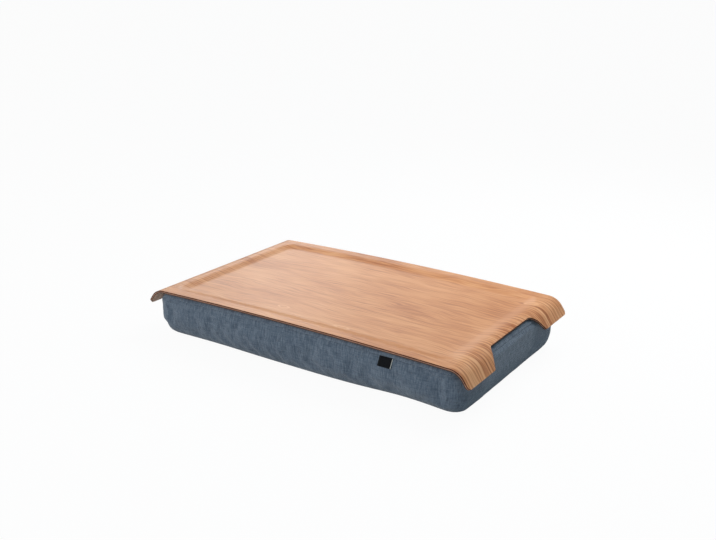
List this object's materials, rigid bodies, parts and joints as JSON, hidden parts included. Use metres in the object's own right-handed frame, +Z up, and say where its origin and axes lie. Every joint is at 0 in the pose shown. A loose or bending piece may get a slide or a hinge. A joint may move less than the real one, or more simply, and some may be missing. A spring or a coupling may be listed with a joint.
{
  "type": "lap tray with cushion",
  "caption": "Bowed plywood lap tray with curled, notched ends for carrying, held by hook-and-loop strips on a zipped fabric cushion full of foam beads.",
  "frame": {"origin": "middle of the cushion's flat foot, on the surface that the object stands on", "axes": "+X along the tray's length to the right-hand curled end, -Y to the front with the label, +Z up"},
  "size_m": [0.4716, 0.2879, 0.0672],
  "materials": {
    "face_veneer": "satin",
    "dark_cross_veneer": "matte",
    "pale_veneer": "matte",
    "backing_veneer": "satin",
    "hook_tape": "matte",
    "loop_tape": "matte",
    "cover_fabric": "matte",
    "lining_cloth": "matte",
    "foam_beads": "matte",
    "zip_tape": "matte",
    "zip_teeth": "satin",
    "zip_metal": "satin",
    "label_ribbon": "satin"
  },
  "bodies": {
    "cushion": {"loop_strip_front": "loop_tape", "loop_strip_back": "loop_tape", "bottom_panel": "cover_fabric", "top_panel": "cover_fabric", "side_band": "cover_fabric", "back_band_upper": "cover_fabric", "back_band_lower": "cover_fabric", "lining_bag": "lining_cloth", "bead_filling": "foam_beads", "zip_tape_upper": "zip_tape", "zip_tape_lower": "zip_tape", "zip_row_upper": "zip_teeth", "zip_row_lower": "zip_teeth", "zip_top_stops": "zip_metal", "zip_bottom_stop": "zip_metal", "label": "label_ribbon"},
    "tray": {"face_veneer": "face_veneer", "upper_cross_veneer": "dark_cross_veneer", "core_veneer": "pale_veneer", "lower_cross_veneer": "pale_veneer", "backing_veneer": "backing_veneer", "hook_strip_front": "hook_tape", "hook_strip_back": "hook_tape"},
    "zip_slider": {"zip_slider": "zip_metal"},
    "zip_pull": {"zip_pull": "zip_metal"}
  },
  "joints": [
    {"name": "tray_lift", "type": "slide", "parent": "cushion", "child": "tray", "axis": [0, 0, 1], "range_m": [0, 0.08]},
    {"name": "zip_travel", "type": "slide", "parent": "cushion", "child": "zip_slider", "axis": [-1, 0, 0], "range_m": [0, 0.3044]},
    {"name": "pull_flip", "type": "hinge", "parent": "zip_slider", "child": "zip_pull", "pos_m": [0.15223, 0.14115, 0.0419], "axis": [0, 0, -1], "range_deg": [0, 180]}
  ]
}
